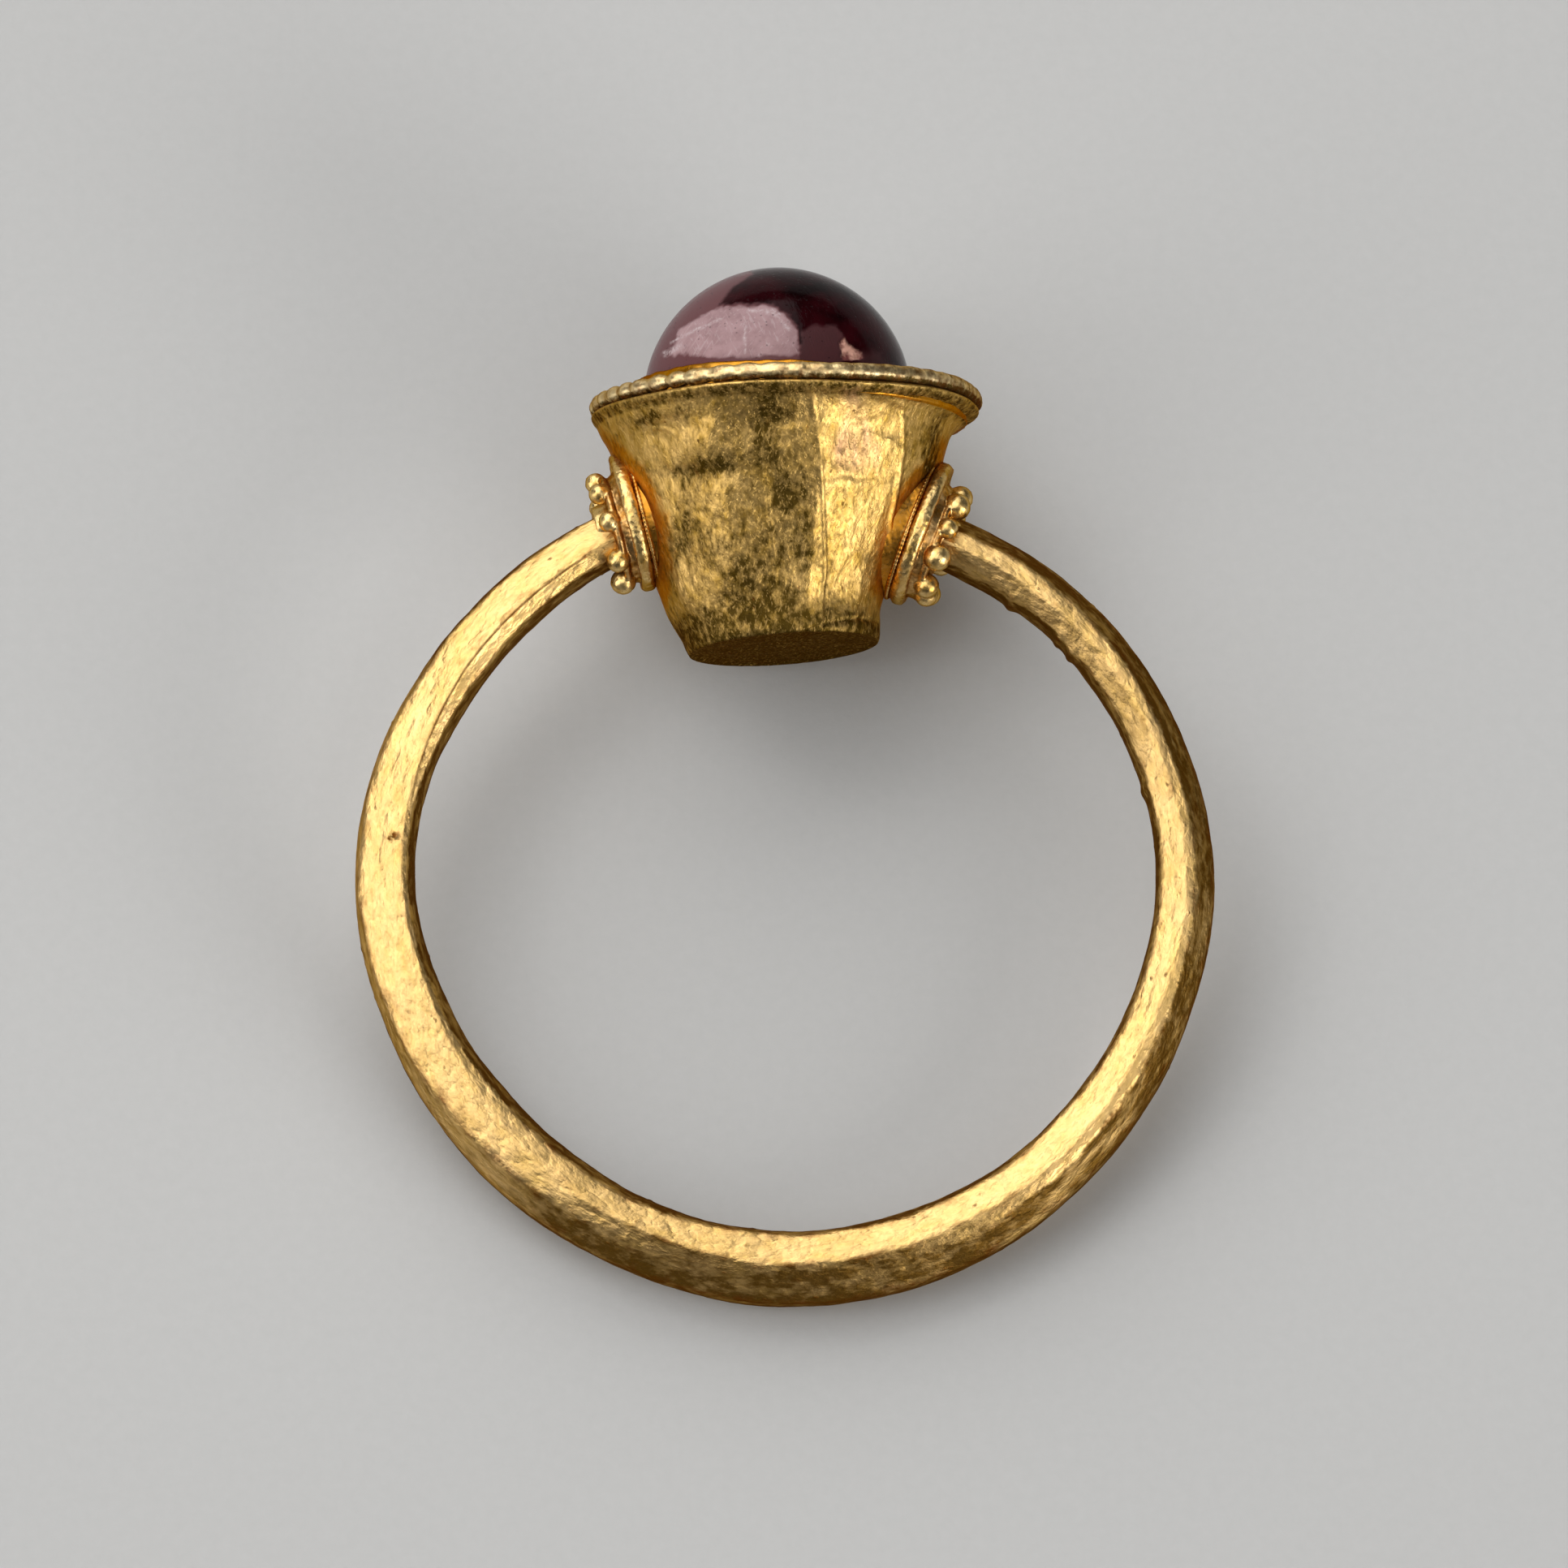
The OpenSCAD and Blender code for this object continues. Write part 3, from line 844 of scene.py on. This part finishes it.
def build_collar(name, collar, material):
    """One shoulder collar, fused from its parts, and the fine beaded wire behind its ring."""
    piece = fused(name, collar_parts(collar))
    mesh = piece.data
    points = vectors(mesh.vertices, "co")
    out_along = points[:, 2]
    hollow = np.clip(hollowness(mesh, 14) / 0.03, 0, 1)
    rough = 0.006 + 0.010 * hollow + 0.006 * band(RING_FACE, out_along)
    crumbs = 0.006 * lumps(points, size=0.3, seed=56) + rough * lumps(points, size=0.1, seed=57)
    points = points + vectors(mesh.vertex_normals, "vector") * crumbs[:, None]
    mesh.vertices.foreach_set("co", points.ravel())
    out_along = points[:, 2]
    bare = np.min([
        np.linalg.norm(points - place, axis=1) - size for place, size in granule_places(collar)
    ], 0)
    strip = band(GRANULE_STRIP, out_along) * fade(0.01, 0.05, bare)
    solder = np.max([fade(*SKIRT_SOLDER, out_along), 0.5 * hollow, 0.45 * strip], 0)
    wire = wire_ring(
        collar["ring"] + FINE_WIRE_OUT, FINE_WIRE_RADIUS, FINE_WIRE_RADIUS, -FINE_WIRE_BACK, 53,
        beads=FINE_WIRE_BEADS,
    )
    fine = mesh_of(name.replace("collar", "fine_wire"), *skinned(wire, closed_rows=True))
    lean = math.radians(collar["lean"])
    out = Vector((collar["side"] * math.cos(lean), -math.sin(lean), 0))
    up = Vector((collar["side"] * math.sin(lean), math.cos(lean), 0))
    place = frame_at(collar["middle"], up, out.cross(up), out)
    mesh.transform(place)
    fine.data.transform(place)
    finish_piece(
        piece, material, reach=0.07, rounds=20, solder=solder, blush=0.5 * strip, stain=0.3 * strip,
    )
    finish_piece(fine, material, rounds=2, solder=np.full(len(fine.data.vertices), 0.55))


# The stone

def build_stone(material):
    turn = turns(400)
    lift = np.linspace(0, math.pi / 2 - 0.01, 180)
    radius = np.concatenate([STONE_BASE[:, 0], STONE_RADIUS * np.cos(lift)])[:, None]
    height = np.concatenate([STONE_BASE[:, 1] - STONE_EDGE, STONE_RADIUS * np.sin(lift)])[:, None]
    grid = around(turn, radius, height) + np.array(STONE_MIDDLE)
    front = fade(*STONE_FRONT, grid[..., 2])
    ragged = 0.08 * lumps(grid, size=0.4, seed=75) + 0.05 * lumps(grid, size=0.12, seed=76)
    x = grid[..., 0] + ragged
    y = grid[..., 1] * math.cos(VIEW_ANGLE) + grid[..., 2] * math.sin(VIEW_ANGLE) + ragged
    # A painted reflection and painted white highlights along scratches, on the front only
    milky = front * np.max([strength * within(outline, x, y, soft) for outline, strength, soft in PAINTED_SHEEN_PATCHES], 0)
    glint_streaks = front * np.max([
        fade(half_width, 0, away_from(places, x, y)) for places, half_width in STONE_GLINT_STREAKS
    ], 0)
    crack = front * fade(*CRACK_EDGE, away_from(STONE_CRACK, x, y))
    chipped = front * within(STONE_CHIP, x - ragged / 2, y - ragged / 2, 0.025)
    relief = 0.02 * lumps(grid, size=2.4, seed=71) + 0.002 * lumps(grid, size=0.3, seed=72) - 0.004 * crack
    relief -= chipped * (0.05 + 0.03 * lumps(grid, size=0.1, seed=74))
    relief[:len(STONE_BASE)] = 0
    finish_piece(
        mesh_of("stone", *skinned(raised(grid, relief))), material, "cabochon", "garnet",
        milky=(milky * (1 - crack)).ravel(), streak=glint_streaks.ravel(), flaw=chipped.ravel(),
    )


# Materials

def feed(socket, value):
    """Sets an input to a value, or links the output that feeds it."""
    if isinstance(value, bpy.types.NodeSocket):
        socket.id_data.links.new(value, socket)
    else:
        socket.default_value = value


def add(tree, kind, sockets=None, **options):
    """Adds a shader node. sockets gives each input its value, or the output that feeds it."""
    made = tree.nodes.new("ShaderNode" + kind)
    for option, value in options.items():
        setattr(made, option, value)
    for socket, value in (sockets or {}).items():
        feed(made.inputs[socket], value)
    return made


def effect(name, numbers, outputs):
    """A new shader node group that takes a place and numbers, with the sockets inside it."""
    tree = bpy.data.node_groups.new(name, "ShaderNodeTree")
    tree.interface.new_socket("Place", in_out="INPUT", socket_type="NodeSocketVector")
    for socket, value in numbers.items():
        made = tree.interface.new_socket(socket, in_out="INPUT", socket_type="NodeSocketFloat")
        made.default_value = value
    for socket in outputs:
        tree.interface.new_socket(socket, in_out="OUTPUT", socket_type="NodeSocketFloat")
    return tree, tree.nodes.new("NodeGroupInput").outputs, tree.nodes.new("NodeGroupOutput").inputs


def maths(operation, a, b):
    return add(a.id_data, "Math", {0: a, 1: b}, operation=operation).outputs[0]


def times(a, b):
    return maths("MULTIPLY", a, b)


def ramped(value, low, high, to_low=0.0, to_high=1.0):
    """value taken from low..high to to_low..to_high, and held at the ends."""
    sockets = {"Value": value, "From Min": low, "From Max": high, "To Min": to_low, "To Max": to_high}
    return add(value.id_data, "MapRange", sockets).outputs["Result"]


def cloudy(place, fineness, output="Fac", **sockets):
    """Noise from 0 to 1 at a place, or in colours."""
    return add(place.id_data, "TexNoise", {"Vector": place, "Scale": fineness, **sockets}).outputs[output]


def make_grain():
    """Fine uneven grain: low bumps, and the tone that goes with them."""
    tree, given, out = effect("grain", {"Fineness": 8.0, "Depth": 0.006}, ["Height", "Tone"])
    bumps = cloudy(given["Place"], given["Fineness"], Detail=3.0, Roughness=0.6)
    feed(out["Height"], times(maths("SUBTRACT", bumps, 0.5), given["Depth"]))
    feed(out["Tone"], bumps)
    return tree


def make_hammering():
    """Small hammered flats that meet in sharp uneven edges."""
    tree, given, out = effect("hammering", {"Fineness": 3.0, "Depth": 0.01}, ["Height"])
    bend = cloudy(given["Place"], 5.0, "Color", Detail=2.0)
    bend = add(tree, "VectorMath", {0: bend, "Scale": 0.16}, operation="SCALE").outputs["Vector"]
    bent = add(tree, "VectorMath", {0: given["Place"], 1: bend}, operation="ADD").outputs["Vector"]
    away = add(tree, "TexVoronoi", {
        "Vector": bent, "Scale": given["Fineness"], "Detail": 1.0, "Roughness": 0.5,
    }).outputs["Distance"]
    feed(out["Height"], times(times(away, away), given["Depth"]))
    return tree


def make_scratches():
    """Fine scratches in three directions, each a thin streak of stretched noise."""
    tree, given, out = effect("fine scratches", {"Fineness": 12.0, "Amount": 0.4}, ["Mask"])
    total = None
    for turn in ((1.35, 0.1, 0.3), (1.7, 0.6, -0.5), (0.7, -0.9, 1.2)):
        spun = add(tree, "Mapping", {
            "Vector": given["Place"], "Rotation": turn, "Scale": (1.0, 1.0, 25.0),
        }, vector_type="TEXTURE").outputs["Vector"]
        streak = cloudy(spun, given["Fineness"], Detail=1.0, Distortion=0.15)
        streak = ramped(streak, 0.64, 0.72)
        total = streak if total is None else maths("MAXIMUM", total, streak)
    feed(out["Mask"], times(total, given["Amount"]))
    return tree


def make_pits():
    """Tiny round pits in some of the cells of a scattered pattern."""
    tree, given, out = effect("tiny pits", {"Fineness": 4.0, "Size": 0.16, "Share": 0.4}, ["Mask"])
    cells = add(tree, "TexVoronoi", {"Vector": given["Place"], "Scale": given["Fineness"]}).outputs
    chance = add(tree, "SeparateColor", {0: cells["Color"]}).outputs[0]
    chosen = maths("LESS_THAN", chance, given["Share"])
    feed(out["Mask"], times(ramped(cells["Distance"], given["Size"], 0.0), chosen))
    return tree


def make_crumbling():
    """Breaks a smooth share into crumbs: what it covers fills the hollows first."""
    tree, given, out = effect(
        "crumbling", {"Share": 0.0, "Fineness": 3.0, "Brokenness": 1.8}, ["Mask", "Height"],
    )
    crumbs = cloudy(given["Place"], given["Fineness"], Detail=4.0, Roughness=0.6)
    proud = maths("SUBTRACT", crumbs, 0.5)
    shifted = maths("SUBTRACT", given["Share"], times(proud, given["Brokenness"]))
    any_there = ramped(given["Share"], 0.0, 0.15)
    feed(out["Mask"], times(ramped(shifted, 0.20, 0.80), any_there))
    feed(out["Height"], proud)
    return tree


EFFECTS = dict(
    grain=make_grain(), hammering=make_hammering(), scratches=make_scratches(), pits=make_pits(),
    crumbling=make_crumbling(),
)


def use(lie, name, **sockets):
    """Adds one of the effects to a material, where it follows lie."""
    return add(lie.id_data, "Group", {"Place": lie, **sockets}, node_tree=EFFECTS[name]).outputs


def new_material(name):
    """A new material, with its shader and the place of each point in millimetres."""
    material = bpy.data.materials.new(name)
    material.use_nodes = True
    lie = add(material.node_tree, "Attribute", attribute_name="lie").outputs["Vector"]
    return material, material.node_tree.nodes["Principled BSDF"], lie


def painted(shader, name):
    """A number painted on a piece, for its shader."""
    return add(shader.id_data, "Attribute", attribute_name=name).outputs["Fac"]


def mixed(share, a, b):
    """Colour a turned to colour b by a share."""
    return add(share.id_data, "Mix", {0: share, 6: a, 7: b}, data_type="RGBA", clamp_factor=True).outputs[2]


def coated(colour, coats):
    """A colour under coats of others, each given as where it lies, how well it covers, and its colour."""
    for mask, cover, coat in coats:
        colour = mixed(times(mask, cover), colour, coat)
    return colour


def summed(values):
    total = values[0]
    for value in values[1:]:
        total = maths("ADD", total, value)
    return total


def bumped(heights, strength=1.0):
    """A normal from heights in millimetres."""
    height = times(summed(heights), strength)
    return add(height.id_data, "Bump", {"Height": height, "Distance": MM, "Strength": 1.0}).outputs["Normal"]


PALE_GOLD = (0.86, 0.67, 0.36, 1)
WIRE_GOLD = (0.86, 0.62, 0.27, 1)
BRIGHT_GOLD = (0.76, 0.50, 0.20, 1)
WORN_GOLD = (0.66, 0.42, 0.13, 1)
OLIVE_GOLD = (0.58, 0.34, 0.075, 1)
CUP_GOLD = (0.72, 0.46, 0.15, 1)
DULL_CUP_GOLD = (0.44, 0.26, 0.05, 1)
DULL_RIM_GOLD = (0.80, 0.56, 0.24, 1)
GLANCING_GOLD = (0.42, 0.25, 0.075, 1)
SOLDER_ORANGE = (0.54, 0.22, 0.017, 1)
BLUSH_PINK = (0.64, 0.36, 0.20, 1)
# Dark colours for the painted darkness, which is partly staining and partly painted shade
STAIN_AND_SHADE_BROWN = (0.080, 0.032, 0.003, 1)
STAIN_AND_SHADE_UMBER = (0.120, 0.056, 0.006, 1)
STAIN_AND_SHADE_OLIVE = (0.060, 0.034, 0.003, 1)
CREVICE_BROWN = (0.16, 0.045, 0.007, 1)
GOLD_SCRATCH_DEPTH = 0.006
GOLD_PIT_DEPTH = 0.02


def make_gold(
    name, bright=BRIGHT_GOLD, deep=OLIVE_GOLD, stain=STAIN_AND_SHADE_BROWN, hammered=0.012, lumpy=0.010, grainy=0.003,
    crumbled=0.03, crumbs=6.0, broken=1.8, scratched=0.3, pitted=0.3, gloss=0.28,
):
    """Old gold, hammered and finely scratched, dark in its hollows, with staining and painted shade,
    and with smooth orange solder.
    """
    material, shader, lie = new_material(name)
    marks = use(lie, "hammering", Fineness=3.2, Depth=hammered)
    fine = use(lie, "grain", Fineness=9.0, Depth=grainy)
    lump = use(lie, "grain", Fineness=3.6, Depth=lumpy)
    broad = use(lie, "grain", Fineness=1.6, Depth=0.010)
    lines = use(lie, "scratches", Fineness=14.0, Amount=scratched)
    pits = use(lie, "pits", Fineness=3.4, Size=0.14, Share=pitted)
    darkness = painted(shader, "stain")
    solder = painted(shader, "solder")
    stained = use(lie, "crumbling", Share=darkness, Fineness=crumbs, Brokenness=broken)
    soldered = use(lie, "crumbling", Share=solder, Fineness=2.0)
    crevice = use(lie, "crumbling", Share=painted(shader, "hollow"), Fineness=4.0)
    worn = summed([
        ramped(broad["Tone"], 0.35, 0.68, to_high=0.6),
        ramped(lump["Tone"], 0.45, 0.7, to_high=0.6),
    ])
    feed(shader.inputs["Base Color"], coated(bright, [
        (worn, 1.0, deep),
        (painted(shader, "blush"), 0.7, BLUSH_PINK),
        (soldered["Mask"], 0.95, SOLDER_ORANGE),
        (stained["Mask"], 0.95, stain),
        (crevice["Mask"], 0.8, CREVICE_BROWN),
        (pits["Mask"], 0.7, CREVICE_BROWN),
        (lines["Mask"], 0.5, bright),
    ]))
    feed(shader.inputs["Roughness"], summed([
        ramped(fine["Tone"], 0.3, 0.7, gloss - 0.05, gloss + 0.12),
        times(stained["Mask"], 0.12),
    ]))
    heights = [
        marks["Height"],
        fine["Height"],
        lump["Height"],
        broad["Height"],
        times(stained["Height"], ramped(darkness, 0.1, 0.6, to_high=crumbled)),
        times(lines["Mask"], -GOLD_SCRATCH_DEPTH),
        times(pits["Mask"], -GOLD_PIT_DEPTH),
    ]
    flooded = ramped(solder, 0.2, 0.9, 1.0, 0.25)
    feed(shader.inputs["Normal"], bumped(heights, flooded))
    shader.inputs["Metallic"].default_value = 1.0
    shader.inputs["Specular Tint"].default_value = GLANCING_GOLD
    return material


WINE = (0.024, 0.0015, 0.003, 1)
DEEP_WINE = (0.004, 0.0003, 0.0006, 1)
PINK_FLAW = (0.62, 0.34, 0.26, 1)
BROWN_FLAW = (0.16, 0.05, 0.045, 1)
DIM_SHEEN_MAUVE = (0.12, 0.050, 0.053, 1)
SHEEN_MAUVE = (0.35, 0.225, 0.23, 1)
SHEEN_WHITE = (0.52, 0.43, 0.43, 1)
STONE_SCRATCH_DEPTH = 0.002
STONE_PIT_DEPTH = 0.008
STONE_GLINT = 1.14


def make_garnet():
    """Dark garnet, polished, with painted reflections in places, pits, scratches and a pink chip near its
    foot.
    """
    material, shader, lie = new_material("garnet")
    clouds = use(lie, "grain", Fineness=0.8, Depth=0.0)
    wisps = use(lie, "grain", Fineness=2.4, Depth=0.0)
    fine = use(lie, "grain", Fineness=12.0, Depth=0.0008)
    lines = use(lie, "scratches", Fineness=16.0, Amount=0.8)
    pits = use(lie, "pits", Fineness=6.0, Size=0.22, Share=0.5)
    milky = painted(shader, "milky")
    flaw = painted(shader, "flaw")
    # The painted reflection: dim mauve, then full mauve in wisps, with white highlights along scratches in it
    full_sheen = times(ramped(milky, 0.5, 1.0), ramped(wisps["Tone"], 0.3, 0.6, 0.65, 1.0))
    streak = times(painted(shader, "streak"), ramped(fine["Tone"], 0.35, 0.65, to_high=0.8))
    sheen_scratch_glints = times(lines["Mask"], times(full_sheen, 0.35))
    feed(shader.inputs["Base Color"], coated(WINE, [
        (ramped(clouds["Tone"], 0.35, 0.65), 1.0, DEEP_WINE),
        (ramped(milky, 0.0, 0.5), 1.0, DIM_SHEEN_MAUVE),
        (full_sheen, 1.0, SHEEN_MAUVE),
        (maths("MAXIMUM", sheen_scratch_glints, streak), 1.0, SHEEN_WHITE),
        (pits["Mask"], 0.7, DEEP_WINE),
        (flaw, 1.0, mixed(ramped(wisps["Tone"], 0.42, 0.58), BROWN_FLAW, PINK_FLAW)),
    ]))
    feed(shader.inputs["Roughness"], summed([
        ramped(fine["Tone"], 0.3, 0.7, 0.08, 0.16),
        times(milky, 0.2),
        times(flaw, 0.3),
    ]))
    feed(shader.inputs["Normal"], bumped([
        fine["Height"],
        times(lines["Mask"], -STONE_SCRATCH_DEPTH),
        times(pits["Mask"], -STONE_PIT_DEPTH),
    ]))
    shader.inputs["IOR"].default_value = STONE_GLINT
    return material


# The studio, in metres

FLOOR_GREY = (0.46, 0.457, 0.448, 1)
FLOOR_SHADE = (0.44, 0.437, 0.428, 1)
FLOOR_HALF = 1.5
BACKDROP = (0.06, 0.06, 0.06, 1)

# The soft lights: the name, the bearing from north, + to the east, and the height above the floor in degrees,
# the distance, the size, and the radiance
LIGHTS = [
    ("key", -20, 41, 0.34, (0.40, 0.34), 2.2),
    ("overhead", -80, 70, 0.36, (0.26, 0.34), 2.15),
    ("left", -108, 28, 0.32, (0.18, 0.26), 2.3),
    ("right", 128, 20, 0.32, (0.18, 0.16), 6.0),
    ("fill", 122, 58, 0.36, (0.18, 0.18), 1.3),
]

# The camera looks along the finger, as the photograph was taken, at VIEW_MIDDLE in the ring's own frame.
VIEW_DISTANCE = 0.6
VIEW_WIDTH = 0.042
VIEW_MIDDLE = Vector((-0.02, 2.56, 0))
SENSOR = 36.0


def make_floor():
    far = FLOOR_HALF
    floor = mesh_of("floor", [(-far, -far, 0), (far, -far, 0), (far, far, 0), (-far, far, 0)], [(0, 1, 2, 3)])
    paint(floor.data, "lie", vectors(floor.data.vertices, "co") / MM)
    material, shader, lie = new_material("pale card")
    fibres = use(lie, "grain", Fineness=3.0, Depth=0.01)
    tone = ramped(fibres["Tone"], 0.2, 0.8)
    feed(shader.inputs["Base Color"], mixed(tone, FLOOR_GREY, FLOOR_SHADE))
    feed(shader.inputs["Normal"], bumped([fibres["Height"]]))
    shader.inputs["Roughness"].default_value = 0.9
    floor.data.materials.append(material)


def light_studio():
    """A dim backdrop, and soft lights that face the ring."""
    world = bpy.data.worlds.new("studio")
    bpy.context.scene.world = world
    world.use_nodes = True
    world.node_tree.nodes["Background"].inputs["Color"].default_value = BACKDROP
    for name, bearing, height, distance, size, radiance in LIGHTS:
        light = bpy.data.lights.new(name, "AREA")
        light.shape = "RECTANGLE"
        light.size, light.size_y = size
        light.energy = radiance * math.pi * size[0] * size[1]
        lamp = new_object(name, light)
        turn, lift = math.radians(bearing), math.radians(height)
        towards = Vector((math.sin(turn) * math.cos(lift), math.cos(turn) * math.cos(lift), math.sin(lift)))
        lamp.location = towards * distance
        lamp.rotation_euler = towards.to_track_quat("Z", "Y").to_euler()
        lamp.visible_camera = False
    bpy.context.scene.view_settings.view_transform = "Standard"


def make_camera():
    data = bpy.data.cameras.new("camera")
    data.sensor_width = SENSOR
    data.lens = SENSOR * VIEW_DISTANCE / VIEW_WIDTH
    data.clip_start = 0.01
    data.clip_end = 10
    camera = new_object("camera", data)
    back = FINGER * math.cos(VIEW_ANGLE) - STONEWARDS * math.sin(VIEW_ANGLE)
    up = STONEWARDS * math.cos(VIEW_ANGLE) + FINGER * math.sin(VIEW_ANGLE)
    camera.matrix_world = frame_at(RING @ VIEW_MIDDLE + back * VIEW_DISTANCE, ACROSS, up, back)
    bpy.context.scene.camera = camera


make_camera()
make_floor()
light_studio()
build_hoop(make_gold(
    "hoop gold", deep=WORN_GOLD, stain=STAIN_AND_SHADE_UMBER, hammered=0.019, lumpy=0.018, grainy=0.014,
    crumbled=0.05, crumbs=4.5, broken=1.1, scratched=0.1, pitted=0.4, gloss=0.37,
))
build_cup(make_gold(
    "cup gold", bright=CUP_GOLD, deep=DULL_CUP_GOLD, stain=STAIN_AND_SHADE_OLIVE, lumpy=0.018, grainy=0.005,
    scratched=0.8, gloss=0.38,
))
build_rim(make_gold(
    "rim gold", bright=PALE_GOLD, deep=DULL_RIM_GOLD, stain=STAIN_AND_SHADE_OLIVE, hammered=0.005, lumpy=0.006,
    gloss=0.34,
))
build_setting(make_gold("setting gold", bright=OLIVE_GOLD, deep=SOLDER_ORANGE))
for collar_name, collar_facts in COLLARS.items():
    build_collar(collar_name, collar_facts, make_gold(
        collar_name.replace("_", " ") + " gold", bright=WIRE_GOLD, hammered=0.003, lumpy=0.005, pitted=0.2,
        gloss=0.29,
    ))
build_stone(make_garnet())
